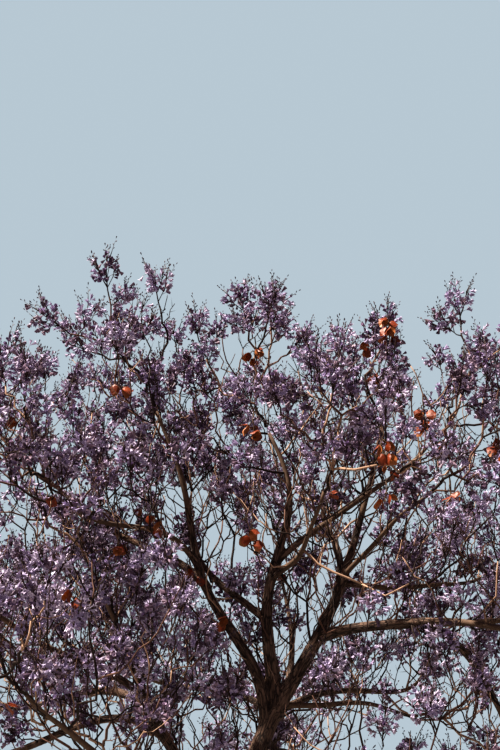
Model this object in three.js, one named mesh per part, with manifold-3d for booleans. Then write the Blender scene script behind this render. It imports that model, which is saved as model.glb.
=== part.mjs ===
// A jacaranda tree in full blossom and without leaves, with last year's seed pods still on it.
// Millimetres, +Z up. The origin is the middle of the trunk's flat cut at ground level.
// The trunk carries stems and boughs, and each of these ends in one mass of twigs with panicles of blossom.
import * as THREE from "three";
import { mergeVertices } from "three/addons/utils/BufferGeometryUtils.js";
import Module from "manifold-3d";

const wasm = await Module();
wasm.setup();

// Driving dimensions of the trunk.
const TRUNK_HEIGHT = 2420;
const TRUNK_LEAN = new THREE.Vector2(25, 20); // how far the fork stands off the foot, along X and Y
const TRUNK_SWAY = -30; // how far the trunk's middle bows along X
const TRUNK_RADIUS = 114; // above the root flare
const FORK_RADIUS = 90;
const CROTCH_RADIUS = 60; // of the trunk's rounded top, between the stems
const CROTCH_DROP = 60; // height of that rounding
const FLARE_RADIUS = 210; // at the ground
const FLARE_FALL = 150; // height in which the flare falls to about a third
const FLARE_RIBS = 5; // root ribs round the foot
const FLARE_RIB_DEPTH = 0.3; // share of the flare that the ribs stand out and in
const TRUNK_SIDES = 18;
const TRUNK_HEIGHTS = [0, 60, 140, 250, 420, 800, 1300, 1850, TRUNK_HEIGHT - CROTCH_DROP, TRUNK_HEIGHT];

// Driving dimensions of the limbs.
const TIP_RADIUS = 9; // of a limb where its blossom mass begins
const FOOT_GAIN = 0.0095; // growth of a bough's foot radius for each millimetre of its length
const DEPARTURE = 0.8; // how much of its parent's direction a limb keeps as it leaves
const UPTURN = 1.2; // how strongly a limb's tip turns up
const HANDLE = 0.36; // share of its length over which a limb holds each end's direction
const STEM_SIDES = 8;
const BOUGH_SIDES = 5;
const FACET_LENGTH = 250; // of one facet along a limb
const SEAT_GAP = 0.3; // between a limb's foot and what carries it

// Driving dimensions of the blossom masses.
const SEED = 4; // of the twigs' branching
const STEM_LENGTH = 160; // from a limb's tip to its mass's first fork
const TWIG_LENGTHS = [320, 230]; // of the twigs of the first and the second fork
const TWIG_RADII = [9, 7.6, 6.2, 4.8]; // at the stem's foot, its end and the ends of the twigs
const FIRST_FORKS = 3; // twigs at the stem's end
const NEXT_FORKS = 2; // at the end of each of those
const FORK_SPREAD = 48; // degrees between a twig and what it forks from
const TWIG_LIFT = 0.3; // how strongly each twig turns up along its length
const PANICLE_LENGTH = 310;
const PANICLE_RADIUS = 108;
const PANICLE_WAIST = 0.5; // share of its length where a panicle is widest
const PANICLE_SIDES = 4;
const PANICLE_SINK = 28; // how deep a panicle's foot is sunk in its twig
const PANICLE_SPACING = 150; // least distance between the middles of two panicles
const SIDE_PANICLE_TILT = 85; // degrees between a side panicle and its twig
const MASS_LEAD = 400; // from a limb's tip to the middle of its mass
const MASS_GAP = 5; // between a mass and the plane halfway to the next mass
const LIMB_GAP = 6; // between a twig or panicle and any limb
const TOP_HEIGHT = 6000; // no panicle stands higher
const CROWN_REACH = 2620; // no panicle reaches further from the trunk's axis

// Driving dimensions of the seed pods, flat round woody discs that hang in small bunches.
const POD_RADIUS = 32;
const POD_THICKNESS = 20;
const POD_STALK_RADIUS = 3;
const POD_STALK_LENGTH = 110;

// Each limb's name, parent and the share of the parent's length where it leaves, then its tip's azimuth
// in degrees (0 along +X, 90 along +Y), its reach from the trunk's axis and its height, then how far it
// sways to its side in one half wave, in two, in three and so on, and how many seed pods its mass has.
const LIMBS = [
  ["stem_right", "trunk", 0.985, 347, 692, 4860, [-155, -85, -35], 0],
  ["stem_left", "stem_right", 0.37, 277, 252, 4960, [-5, -95, 20], 2],
  ["stem_back", "trunk", 0.94, 83, 1160, 4500, [30, -40, 20], 1],
  ["stem_low_left", "trunk", 0.97, 198, 965, 4080, [-35, -35, 25], 0],
  ["left_leader", "stem_right", 0.32, 220, 771, 4980, [-60, -40, 40, 5], 1],
  ["front_top", "stem_left", 0.45, 286, 1130, 4250, [40, 40], 1],
  ["right_top", "stem_left", 0.5, 345, 1000, 4860, [-25, 25], 3],
  ["top_back_left", "stem_left", 0.3, 137, 620, 4900, [-150, -30], 0],
  ["top_back_right", "stem_right", 0.66, 53, 750, 5000, [-60, 30], 0],
  ["left_top", "left_leader", 0.45, 172, 1360, 4850, [40, -50, 20], 0],
  ["left_front", "left_leader", 0.5, 222, 1357, 4300, [65, 15], 1],
  ["right_front", "stem_right", 0.7, 322, 1146, 4400, [-45, 35], 2],
  ["far_left_front", "stem_low_left", 0.6, 204, 1812, 3900, [60, -40, 20], 0],
  ["far_right_front", "stem_right", 0.55, 326, 1942, 3650, [-60, 40, 20], 0],
  ["right_mid", "stem_right", 0.68, 13, 1340, 4250, [15, 55, 5], 0],
  ["right_out", "stem_right", 0.54, 3, 1900, 4100, [-15, 40], 1],
  ["right_low", "stem_right", 0.38, 22, 980, 3450, [-70, 55, 10], 0],
  ["back_right", "stem_back", 0.55, 51, 1741, 4100, [50, -40, 20], 1],
  ["back_left", "stem_back", 0.5, 128, 1531, 4200, [-50, 40], 0],
  ["back_low", "stem_back", 0.4, 84, 1960, 3500, [40, 50], 1],
  ["left_back", "stem_low_left", 0.55, 157, 1904, 3900, [-60, 50, 20], 1],
  ["right_back", "right_out", 0.35, 30, 2050, 3500, [50, -40], 0],
  ["far_left", "stem_low_left", 0.5, 182, 2000, 3300, [-20, 20, 30], 0],
  ["left_low", "stem_low_left", 0.33, 214, 860, 3000, [-10, 25, 15], 0],
  ["front_left_low", "stem_low_left", 0.3, 238, 1956, 3100, [50, -60, 20], 1],
  ["front_right_low", "stem_right", 0.15, 322, 2050, 2850, [-60, 50, 20], 0],
];
const FOOT_RADII = { stem_right: 63, stem_left: 41, stem_back: 46, stem_low_left: 42, left_leader: 35 };

const SLIVER = 4; // faces that a union leaves thinner than this are merged away

const BARK = { color: 0x6b5546, roughness: 0.9, metalness: 0 };
const BLOSSOM = { color: 0x8f7aa8, roughness: 0.75, metalness: 0 };

const UP = new THREE.Vector3(0, 0, 1);
const radians = THREE.MathUtils.degToRad;
const plus = (point, direction, distance) => point.clone().addScaledVector(direction, distance);
const mixed = (a, b, share) => a.clone().addScaledVector(b, share).normalize();

// A seeded generator (Park and Miller's minimal standard) of numbers between two limits.
function generator(seed) {
  let state = seed * 7919 + 17;
  return (low, high) => {
    state = (state * 16807) % 2147483647;
    return low + ((high - low) * state) / 2147483647;
  };
}

// A three.js geometry as a solid, once its equal corners are one corner.
function solidOf(geometry) {
  const bare = geometry.clone();
  bare.deleteAttribute("normal");
  bare.deleteAttribute("uv");
  const merged = mergeVertices(bare, 1e-3);
  return new wasm.Manifold(
    new wasm.Mesh({
      numProp: 3,
      vertProperties: merged.attributes.position.array,
      triVerts: new Uint32Array(merged.index.array),
    }),
  );
}

// The named mesh of a solid, or of its largest body where a cut has left a scrap.
function meshOf(name, solid, material) {
  const bodies = solid.decompose().sort((a, b) => b.volume() - a.volume());
  const made = bodies[0].getMesh();
  const geometry = new THREE.BufferGeometry()
    .setAttribute("position", new THREE.BufferAttribute(made.vertProperties, 3))
    .setIndex(new THREE.BufferAttribute(made.triVerts, 1));
  geometry.computeVertexNormals();
  const mesh = new THREE.Mesh(geometry, new THREE.MeshStandardMaterial(material));
  mesh.name = name;
  return mesh;
}

// The direction of a line of points at each of its points.
function tangents(line) {
  const last = line.length - 1;
  return line.map((_, i) => {
    const ahead = line[Math.min(i + 1, last)];
    return ahead.clone().sub(line[Math.max(i - 1, 0)]).normalize();
  });
}

// A closed cylinder bent along a line, with its radius at each point of the line and each angle round it.
function bentCylinder(line, sides, radiusAt, along = tangents(line)) {
  const steps = line.length - 1;
  const geometry = new THREE.CylinderGeometry(1, 1, 1, sides, steps);
  const position = geometry.attributes.position;
  const across = [];
  let side = new THREE.Vector3(1, 0, 0);
  if (Math.abs(along[0].x) > 0.9) side = new THREE.Vector3(0, 1, 0);
  for (const t of along) {
    side = side.clone().addScaledVector(t, -side.dot(t)).normalize();
    across.push(side);
  }
  for (let i = 0; i < position.count; i++) {
    const ring = Math.round((position.getY(i) + 0.5) * steps);
    const x = position.getX(i);
    const z = position.getZ(i);
    const radius = radiusAt(ring, Math.atan2(z, x));
    const other = across[ring].clone().cross(along[ring]);
    const point = plus(plus(line[ring], across[ring], x * radius), other, z * radius);
    position.setXYZ(i, point.x, point.y, point.z);
  }
  return solidOf(geometry);
}

// The trunk: its line, its radii without the ribs, and its solid, which may be grown by a gap.
function trunkLine() {
  return TRUNK_HEIGHTS.map((height) => {
    const share = height / TRUNK_HEIGHT;
    const bow = TRUNK_SWAY * Math.sin(Math.PI * share);
    return new THREE.Vector3(TRUNK_LEAN.x * share + bow, TRUNK_LEAN.y * share, height);
  });
}

function trunkRadius(height) {
  if (height === TRUNK_HEIGHT) return CROTCH_RADIUS;
  return TRUNK_RADIUS + ((FORK_RADIUS - TRUNK_RADIUS) * height) / TRUNK_HEIGHT;
}

function trunkSolid(line, gap) {
  const raised = [...line.slice(0, -1), plus(line.at(-1), UP, gap)];
  const radiusAt = (ring, angle) => {
    const height = TRUNK_HEIGHTS[ring];
    const flare = (FLARE_RADIUS - TRUNK_RADIUS) * Math.exp(-height / FLARE_FALL);
    return trunkRadius(height) + flare * (1 + FLARE_RIB_DEPTH * Math.cos(FLARE_RIBS * angle)) + gap;
  };
  return bentCylinder(raised, TRUNK_SIDES, radiusAt, raised.map(() => UP));
}

// The place and direction at a share of a limb's line.
function placeOn(limb, share) {
  const at = share * (limb.line.length - 1);
  const i = Math.min(Math.floor(at), limb.line.length - 2);
  return {
    point: limb.line[i].clone().lerp(limb.line[i + 1], at - i),
    direction: limb.line[i + 1].clone().sub(limb.line[i]).normalize(),
  };
}

// A limb's line: a curve that leaves along its parent, swings to its tip and turns up there, and sways
// to its side in the plane of the front view.
function limbLine(parent, share, azimuth, reach, height, sways) {
  const foot = placeOn(parent, share);
  const heading = radians(azimuth);
  const tip = new THREE.Vector3(Math.cos(heading) * reach, Math.sin(heading) * reach, height);
  const chord = tip.clone().sub(foot.point);
  const length = chord.length();
  const straight = chord.clone().normalize();
  const leaving = mixed(straight, foot.direction, DEPARTURE);
  const arriving = mixed(straight, UP, UPTURN);
  const curve = new THREE.CubicBezierCurve3(
    foot.point,
    plus(foot.point, leaving, length * HANDLE),
    plus(tip, arriving, -length * HANDLE),
    tip,
  );
  const sideways = new THREE.Vector3(0, 1, 0).cross(straight).normalize();
  const steps = Math.max(4, Math.round(length / FACET_LENGTH));
  return Array.from({ length: steps + 1 }, (_, i) => {
    const t = i / steps;
    const sway = sways.reduce((sum, size, k) => sum + size * Math.sin((k + 1) * Math.PI * t), 0);
    return plus(curve.getPoint(t), sideways, sway);
  });
}

function lengthOf(line) {
  return line.slice(1).reduce((sum, point, i) => sum + point.distanceTo(line[i]), 0);
}

// All limbs, each cut clear of its parent and of the limbs before it.
function makeLimbs() {
  const trunk = { name: "trunk", line: trunkLine() };
  trunk.radii = TRUNK_HEIGHTS.map(trunkRadius);
  trunk.solid = trunkSolid(trunk.line, 0);
  trunk.grown = trunkSolid(trunk.line, SEAT_GAP);
  const limbs = [trunk];
  for (const [name, parentName, share, azimuth, reach, height, sways, pods] of LIMBS) {
    const parent = limbs.find((limb) => limb.name === parentName);
    const line = limbLine(parent, share, azimuth, reach, height, sways);
    const foot = FOOT_RADII[name] ?? TIP_RADIUS + FOOT_GAIN * lengthOf(line);
    const last = line.length - 1;
    const radii = line.map((_, i) => foot + ((TIP_RADIUS - foot) * i) / last);
    const sides = FOOT_RADII[name] ? STEM_SIDES : BOUGH_SIDES;
    const solid = limbs.reduce(
      (left, limb) => left.subtract(limb.grown),
      bentCylinder(line, sides, (ring) => radii[ring]),
    );
    const grown = bentCylinder(line, sides, (ring) => radii[ring] + SEAT_GAP);
    limbs.push({ name, line, radii, solid, grown, pods });
  }
  return limbs;
}

// The distance from a point to the nearest bark of any limb.
function clearOfLimbs(limbs, point) {
  let least = Infinity;
  for (const limb of limbs) {
    for (let i = 0; i < limb.line.length - 1; i++) {
      const span = limb.line[i + 1].clone().sub(limb.line[i]);
      const from = point.clone().sub(limb.line[i]);
      const t = THREE.MathUtils.clamp(from.dot(span) / span.lengthSq(), 0, 1);
      const radius = limb.radii[i] + (limb.radii[i + 1] - limb.radii[i]) * t;
      least = Math.min(least, from.addScaledVector(span, -t).length() - radius);
    }
  }
  return least;
}

// A direction at an angle from another, turned about it.
function forkedFrom(direction, degrees, turn) {
  const side = new THREE.Vector3(direction.z, 0, -direction.x).normalize();
  side.applyAxisAngle(direction, turn);
  return direction.clone().applyAxisAngle(side, radians(degrees));
}

// The twigs, panicles and pods of one mass. What would leave the mass's own space, touch a limb or crowd
// another panicle is left out. A twig whose forks are all left out ends in panicles, and one that would
// have none is left out too.
function growMass(limb, index, limbs, middles) {
  const between = generator(SEED + index);
  const tip = limb.line.at(-1);
  const heading = tangents(limb.line).at(-1);
  const twigs = [];
  const panicles = [];
  const pods = [];

  const inSpace = (point, radius) =>
    point.z + radius < TOP_HEIGHT &&
    Math.hypot(point.x, point.y) + radius < CROWN_REACH &&
    middles.every((middle, i) => {
      if (i === index) return true;
      const across = middle.clone().sub(middles[index]);
      const halfway = across.length() / 2;
      const along = point.clone().sub(middles[index]).dot(across.normalize());
      return along + radius < halfway - MASS_GAP;
    });
  const clear = (point, radius) => inSpace(point, radius) && clearOfLimbs(limbs, point) > radius + LIMB_GAP;

  function addPanicle(foot, direction, size) {
    const length = PANICLE_LENGTH * size;
    const radius = PANICLE_RADIUS * size;
    const axis = mixed(direction, UP, between(0.3, 0.9));
    const middle = plus(foot, axis, length * PANICLE_WAIST);
    const free =
      clear(middle, radius) &&
      inSpace(plus(foot, axis, length), 0) &&
      panicles.every((other) => other.middle.distanceTo(middle) > PANICLE_SPACING);
    if (free) panicles.push({ foot, axis, length, radius, middle, turn: between(0, Math.PI) });
    return free;
  }

  // A bunch of pods on a stalk that hangs from a twig.
  function addPods(from, count) {
    const knot = plus(from, UP, -POD_STALK_LENGTH);
    const radii = [POD_STALK_RADIUS, POD_STALK_RADIUS];
    for (let i = 0; i < count; i++) {
      const turn = (2 * Math.PI * (i + between(-0.2, 0.2))) / count;
      const outward = new THREE.Vector3(Math.cos(turn), Math.sin(turn), between(-1.2, 0.3)).normalize();
      const middle = plus(knot, outward, POD_RADIUS * 1.15);
      const apart = panicles.every((other) => other.middle.distanceTo(middle) > other.length / 2);
      if (!apart || !clear(middle, POD_RADIUS)) continue;
      if (!pods.length) twigs.push({ line: [from, knot], radii });
      twigs.push({ line: [plus(knot, outward, -POD_STALK_RADIUS / 2), middle], radii });
      pods.push({ middle, outward, turn: between(0, Math.PI) });
    }
  }

  function addTwig(start, direction, order) {
    const length = TWIG_LENGTHS[order] * between(0.78, 1.15);
    const bend = plus(start, direction, length / 2);
    const turned = mixed(direction, UP, TWIG_LIFT * between(0.4, 1.3));
    const end = plus(bend, turned, length / 2);
    if (!clear(bend, TWIG_RADII[order + 1]) || !clear(end, TWIG_RADII[order + 2])) return false;
    twigs.push({ line: [start, end], radii: [TWIG_RADII[order + 1], TWIG_RADII[order + 2]] });
    if (order + 1 < TWIG_LENGTHS.length && addForks(end, turned, order + 1, NEXT_FORKS)) return true;
    const side = forkedFrom(turned, SIDE_PANICLE_TILT, between(0, 2 * Math.PI));
    const ended = addPanicle(plus(end, turned, -PANICLE_SINK), turned, between(0.85, 1.1));
    const flanked = addPanicle(plus(end, turned, -length * between(0.2, 0.4)), side, between(0.75, 0.95));
    if (!ended && !flanked) twigs.pop();
    return ended || flanked;
  }

  function addForks(end, direction, order, count) {
    const turn = between(0, 2 * Math.PI);
    let made = 0;
    for (let i = 0; i < count; i++) {
      const spread = FORK_SPREAD * between(0.6, 1.2);
      const side = forkedFrom(direction, spread, turn + (2 * Math.PI * (i + between(-0.2, 0.2))) / count);
      if (addTwig(plus(end, direction, -TWIG_RADII[order + 1]), side, order)) made++;
    }
    return made > 0;
  }

  const foot = plus(tip, heading, SEAT_GAP);
  const end = plus(foot, heading, STEM_LENGTH);
  twigs.push({ line: [foot, end], radii: TWIG_RADII.slice(0, 2) });
  addForks(end, heading, 0, FIRST_FORKS);
  if (limb.pods) addPods(plus(foot, heading, STEM_LENGTH * 0.8), limb.pods);
  return { twigs, panicles, pods };
}

function twigSolid(twig) {
  const [from, to] = twig.radii;
  const last = twig.line.length - 1;
  return bentCylinder(twig.line, 3, (ring) => from + ((to - from) * ring) / last);
}

// A panicle's outer shape: a spindle with its foot in the twig.
function panicleSolid(panicle) {
  const geometry = new THREE.SphereGeometry(1, PANICLE_SIDES, 2);
  const position = geometry.attributes.position;
  const side = forkedFrom(panicle.axis, 90, panicle.turn);
  const other = side.clone().cross(panicle.axis);
  for (let i = 0; i < position.count; i++) {
    const level = position.getY(i);
    const share = level > 0.5 ? 1 : level < -0.5 ? 0 : PANICLE_WAIST;
    const point = plus(panicle.foot, panicle.axis, panicle.length * share)
      .addScaledVector(side, position.getX(i) * panicle.radius)
      .addScaledVector(other, position.getZ(i) * panicle.radius);
    position.setXYZ(i, point.x, point.y, point.z);
  }
  return solidOf(geometry);
}

// A pod: a flat disc that hangs by its edge.
function podSolid(pod) {
  const geometry = new THREE.CylinderGeometry(1, 1, 1, 6, 1);
  const position = geometry.attributes.position;
  const flat = forkedFrom(pod.outward, 90, pod.turn);
  const other = flat.clone().cross(pod.outward);
  for (let i = 0; i < position.count; i++) {
    const point = plus(pod.middle, flat, position.getY(i) * POD_THICKNESS)
      .addScaledVector(pod.outward, position.getX(i) * POD_RADIUS)
      .addScaledVector(other, position.getZ(i) * POD_RADIUS);
    position.setXYZ(i, point.x, point.y, point.z);
  }
  return solidOf(geometry);
}

function massSolid(mass) {
  const blossom = mass.panicles.map(panicleSolid);
  const pieces = [...mass.twigs.map(twigSolid), ...blossom, ...mass.pods.map(podSolid)];
  return wasm.Manifold.union(pieces).simplify(SLIVER);
}

const limbs = makeLimbs();
const carriers = limbs.slice(1);
const middles = carriers.map((limb) => {
  const rising = mixed(tangents(limb.line).at(-1), UP, 0.5);
  return plus(limb.line.at(-1), rising, MASS_LEAD);
});

const tree = new THREE.Group();
for (const limb of limbs) tree.add(meshOf(limb.name, limb.solid, BARK));
carriers.forEach((limb, index) => {
  const mass = growMass(limb, index, limbs, middles);
  tree.add(meshOf(`blossom_${limb.name.replace("stem_", "")}`, massSolid(mass), BLOSSOM));
});

export default tree;
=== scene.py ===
# A jacaranda tree in full blossom and without leaves, with last year's seed pods still on it.
# Lengths are millimetres until a mesh is made of them, and metres after that.
import math

import bmesh
import bpy
import numpy as np
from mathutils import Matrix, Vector, noise


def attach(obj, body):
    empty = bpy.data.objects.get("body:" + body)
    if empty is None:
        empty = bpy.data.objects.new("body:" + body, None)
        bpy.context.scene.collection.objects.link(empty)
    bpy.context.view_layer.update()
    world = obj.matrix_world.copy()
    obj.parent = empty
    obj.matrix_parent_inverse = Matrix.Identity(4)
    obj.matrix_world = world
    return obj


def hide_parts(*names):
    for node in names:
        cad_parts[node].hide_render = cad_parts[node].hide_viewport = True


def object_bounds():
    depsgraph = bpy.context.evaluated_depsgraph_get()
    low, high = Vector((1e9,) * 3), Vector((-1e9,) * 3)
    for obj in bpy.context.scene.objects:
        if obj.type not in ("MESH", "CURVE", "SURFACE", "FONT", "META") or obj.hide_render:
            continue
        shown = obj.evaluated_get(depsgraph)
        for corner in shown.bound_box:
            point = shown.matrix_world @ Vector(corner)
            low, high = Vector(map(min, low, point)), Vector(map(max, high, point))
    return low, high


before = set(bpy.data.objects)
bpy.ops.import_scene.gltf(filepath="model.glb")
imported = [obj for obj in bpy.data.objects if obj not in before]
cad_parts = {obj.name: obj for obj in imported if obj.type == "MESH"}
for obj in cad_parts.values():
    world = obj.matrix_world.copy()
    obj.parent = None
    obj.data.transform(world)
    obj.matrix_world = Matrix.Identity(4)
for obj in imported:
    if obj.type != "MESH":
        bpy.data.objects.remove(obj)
part_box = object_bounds()


# The view: the camera stands by the eye of someone eight metres from the trunk who looks up into the
# crown. One strong light with a soft edge comes from the upper left, as the midday sun does, and a dim
# pale world fills in the shade over a plain floor.
EYE = (-0.06, -8.16, 1.6)  # metres
LOOK_UP = math.radians(25)
LENS = 72  # millimetres
SENSOR = 36  # millimetres, along the picture's longer side
PHOTO_WIDTH = 500  # pixels
PHOTO_HEIGHT = 750
SUN_FROM = (-0.52, -0.26, 0.81)
SUN_ANGLE = math.radians(2)
SUN_STRENGTH = 7.9
FILL_STRENGTH = 0.28
FLOOR_SIDE = 60  # metres


def linear(colour):
    """A hex colour as the linear red, green, blue and alpha that shaders take."""
    channels = [int(colour[i : i + 2], 16) / 255 for i in (1, 3, 5)]
    return [c / 12.92 if c <= 0.04045 else ((c + 0.055) / 1.055) ** 2.4 for c in channels] + [1]


def add_node(tree, kind, sockets=None, **settings):
    """A node with its settings, and each of its sockets set to a value or linked to another's output."""
    made = tree.nodes.new(kind)
    for name, value in settings.items():
        setattr(made, name, value)
    for name, value in (sockets or {}).items():
        if isinstance(value, bpy.types.NodeSocket):
            tree.links.new(value, made.inputs[name])
        else:
            made.inputs[name].default_value = value
    return made


def plain_skin(name, colour, roughness):
    """A material of one colour."""
    made = bpy.data.materials.new(name)
    made.use_nodes = True
    shader = made.node_tree.nodes["Principled BSDF"]
    shader.inputs["Base Color"].default_value = linear(colour)
    shader.inputs["Roughness"].default_value = roughness
    return made


camera = bpy.data.objects.new("camera", bpy.data.cameras.new("camera"))
camera.data.lens = LENS
camera.location = EYE
camera.rotation_euler = (math.pi / 2 + LOOK_UP, 0, 0)
bpy.context.scene.collection.objects.link(camera)
bpy.context.scene.camera = camera

sun = bpy.data.objects.new("sun", bpy.data.lights.new("sun", "SUN"))
sun.data.energy = SUN_STRENGTH
sun.data.angle = SUN_ANGLE
sun.data.color = linear("#fff7ec")[:3]
sun.rotation_euler = Vector(SUN_FROM).to_track_quat("Z", "Y").to_euler()
bpy.context.scene.collection.objects.link(sun)

world = bpy.data.worlds.new("pale_world")
world.use_nodes = True
tree = world.node_tree
tree.nodes.clear()
seen = add_node(tree, "ShaderNodeBackground", {"Color": linear("#a6b2ba"), "Strength": 1})
fill = add_node(tree, "ShaderNodeBackground", {"Color": linear("#d2c6df"), "Strength": FILL_STRENGTH})
rays = add_node(tree, "ShaderNodeLightPath")
by_ray = {0: rays.outputs["Is Camera Ray"], 1: fill.outputs[0], 2: seen.outputs[0]}
both = add_node(tree, "ShaderNodeMixShader", by_ray)
add_node(tree, "ShaderNodeOutputWorld", {"Surface": both.outputs[0]})
bpy.context.scene.world = world
bpy.context.scene.view_settings.view_transform = "Standard"
bpy.context.scene.view_settings.look = "High Contrast"

bpy.ops.object.select_all(action="DESELECT")
bpy.ops.mesh.primitive_plane_add(size=FLOOR_SIDE)
floor = bpy.context.object
floor.name = "floor"
floor.data.materials.append(plain_skin("matt_pale_paint", "#7c7a76", 0.9))


# The trunk and limbs: one trunk of brown, finely furrowed bark that forks above a person's height, and
# limbs that each leave along their parent, swing out and turn up at the tip. They grow into one another
# with a collar of bark at each fork.
TRUNK_HEIGHT = 2420
TRUNK_LEAN = (25, 20)
TRUNK_SWAY = -30
TRUNK_RADIUS = 114
FORK_RADIUS = 90
CROTCH_RADIUS = 60
CROTCH_DROP = 60
FLARE_RADIUS = 210
FLARE_FALL = 150
FLARE_RIBS = 5
FLARE_RIB_DEPTH = 0.3
TRUNK_HEIGHTS = [0, 60, 140, 250, 420, 800, 1300, 1850, TRUNK_HEIGHT - CROTCH_DROP, TRUNK_HEIGHT]
TIP_RADIUS = 9
FOOT_GAIN = 0.0095
DEPARTURE = 0.8
UPTURN = 1.2
HANDLE = 0.36
FACET_LENGTH = 250

# Each limb's name, parent and the share of the parent's length where it leaves, then its tip's azimuth
# in degrees (0 along +X, 90 along +Y), its reach from the trunk's axis and its height, then how far it
# sways to its side in one half wave, in two, in three and so on, and how many seed pods its mass has.
LIMBS = [
    ("stem_right", "trunk", 0.985, 347, 692, 4860, [-155, -85, -35], 0),
    ("stem_left", "stem_right", 0.37, 277, 252, 4960, [-5, -95, 20], 2),
    ("stem_back", "trunk", 0.94, 83, 1160, 4500, [30, -40, 20], 1),
    ("stem_low_left", "trunk", 0.97, 198, 965, 4080, [-35, -35, 25], 0),
    ("left_leader", "stem_right", 0.32, 220, 771, 4980, [-60, -40, 40, 5], 1),
    ("front_top", "stem_left", 0.45, 286, 1130, 4250, [40, 40], 1),
    ("right_top", "stem_left", 0.5, 345, 1000, 4860, [-25, 25], 3),
    ("top_back_left", "stem_left", 0.3, 137, 620, 4900, [-150, -30], 0),
    ("top_back_right", "stem_right", 0.66, 53, 750, 5000, [-60, 30], 0),
    ("left_top", "left_leader", 0.45, 172, 1360, 4850, [40, -50, 20], 0),
    ("left_front", "left_leader", 0.5, 222, 1357, 4300, [65, 15], 1),
    ("right_front", "stem_right", 0.7, 322, 1146, 4400, [-45, 35], 2),
    ("far_left_front", "stem_low_left", 0.6, 204, 1812, 3900, [60, -40, 20], 0),
    ("far_right_front", "stem_right", 0.55, 326, 1942, 3650, [-60, 40, 20], 0),
    ("right_mid", "stem_right", 0.68, 13, 1340, 4250, [15, 55, 5], 0),
    ("right_out", "stem_right", 0.54, 3, 1900, 4100, [-15, 40], 1),
    ("right_low", "stem_right", 0.38, 22, 980, 3450, [-70, 55, 10], 0),
    ("back_right", "stem_back", 0.55, 51, 1741, 4100, [50, -40, 20], 1),
    ("back_left", "stem_back", 0.5, 128, 1531, 4200, [-50, 40], 0),
    ("back_low", "stem_back", 0.4, 84, 1960, 3500, [40, 50], 1),
    ("left_back", "stem_low_left", 0.55, 157, 1904, 3900, [-60, 50, 20], 1),
    ("right_back", "right_out", 0.35, 30, 2050, 3500, [50, -40], 0),
    ("far_left", "stem_low_left", 0.5, 182, 2000, 3300, [-20, 20, 30], 0),
    ("left_low", "stem_low_left", 0.33, 214, 860, 3000, [-10, 25, 15], 0),
    ("front_left_low", "stem_low_left", 0.3, 238, 1956, 3100, [50, -60, 20], 1),
    ("front_right_low", "stem_right", 0.15, 322, 2050, 2850, [-60, 50, 20], 0),
]
FOOT_RADII = {"stem_right": 63, "stem_left": 41, "stem_back": 46, "stem_low_left": 42, "left_leader": 35}

SMOOTHER = 8  # points of a limb's line here for each facet of the part's
THICK_RADIUS = 17  # limbs are one smooth skin down to this radius, and slender tubes past it
STOUT_RADIUS = 45  # from here up a limb's rough tube has twice the sides
SLENDER_FIT = 0.99  # of a slender tube's radius, so that it starts inside the skin
SLENDER_SIDES = 8
VOXEL = 10.2
SKIN_STEPS = 3  # that bring the remeshed skin onto the bark's true place
ROOT_DEPTH = 90  # how far the trunk runs down before it is cut flat at the ground
NECK_RADIUS = 82  # where the trunk's top narrows into the stem that goes on from it
NECK_FALL = 170  # length in which the stem narrows to about a third of that swelling
COLLAR = 0.75  # reach of the swelling at a fork, as a share of the thinner limb's radius
LEAST_COLLAR = 6
REACH_RADII = 2.5  # times a limb's radius, and the next length more, where its bark is looked for
REACH_MORE = 60
LIMBS_APART = 1000  # from one limb's furrow pattern to the next one's, so that no two are alike
FORK_REACH = 40  # difference in distance to two limbs within which the bark belongs to their fork
FORK_FURROWS = 0.35  # of the furrows' depth there
FURROW_SPACING = 25
FURROW_STRETCH = 8  # length of a furrow against its spacing
FURROW_DEPTH = 0.055  # as a share of the limb's radius
FURROW_STEEPNESS = 3.2
FURROW_MIDDLE = 0.6  # share of its depth that lies inside the limb's own radius
WANDER_SCALE = 0.45  # of the furrows' wandering against the furrows
WANDER = 0.8
DEEPEST_FURROW = 7
SWELLING = 0.06  # of the limb's radius, in slow lumps along it
LUMP_SPACING = 110
LUMP_STRETCH = 2
HIGHEST_LUMP = 6
PLATE_WIDTH = 13  # of the thin bark's small plates, between fissures too fine for the mesh
PLATE_STRETCH = 6
PLATE_WAVER = 9

UP = np.array([0.0, 0.0, 1.0])


def cross(a, b):
    return np.array([a[1] * b[2] - a[2] * b[1], a[2] * b[0] - a[0] * b[2], a[0] * b[1] - a[1] * b[0]])


def unit(vector):
    return vector / math.sqrt(vector @ vector)


def units(vectors):
    return vectors / np.linalg.norm(vectors, axis=1)[:, None]


def mixed(a, b, share):
    return unit(a + b * share)


def tangents(line):
    """The direction of a line of points at each of its points."""
    ends = np.concatenate([line[:1], line, line[-1:]])
    return units(ends[2:] - ends[:-2])


def place_on(line, share):
    """The place and direction at a share of a line."""
    at = share * (len(line) - 1)
    i = min(math.floor(at), len(line) - 2)
    return line[i] + (line[i + 1] - line[i]) * (at - i), unit(line[i + 1] - line[i])


def curve(start, leaving, arriving, end, t):
    """Points at shares t of a curve that sets out toward leaving and comes in from arriving."""
    setting_out = (1 - t) ** 3 * start + 3 * (1 - t) ** 2 * t * leaving
    return setting_out + 3 * (1 - t) * t**2 * arriving + t**3 * end


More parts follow.
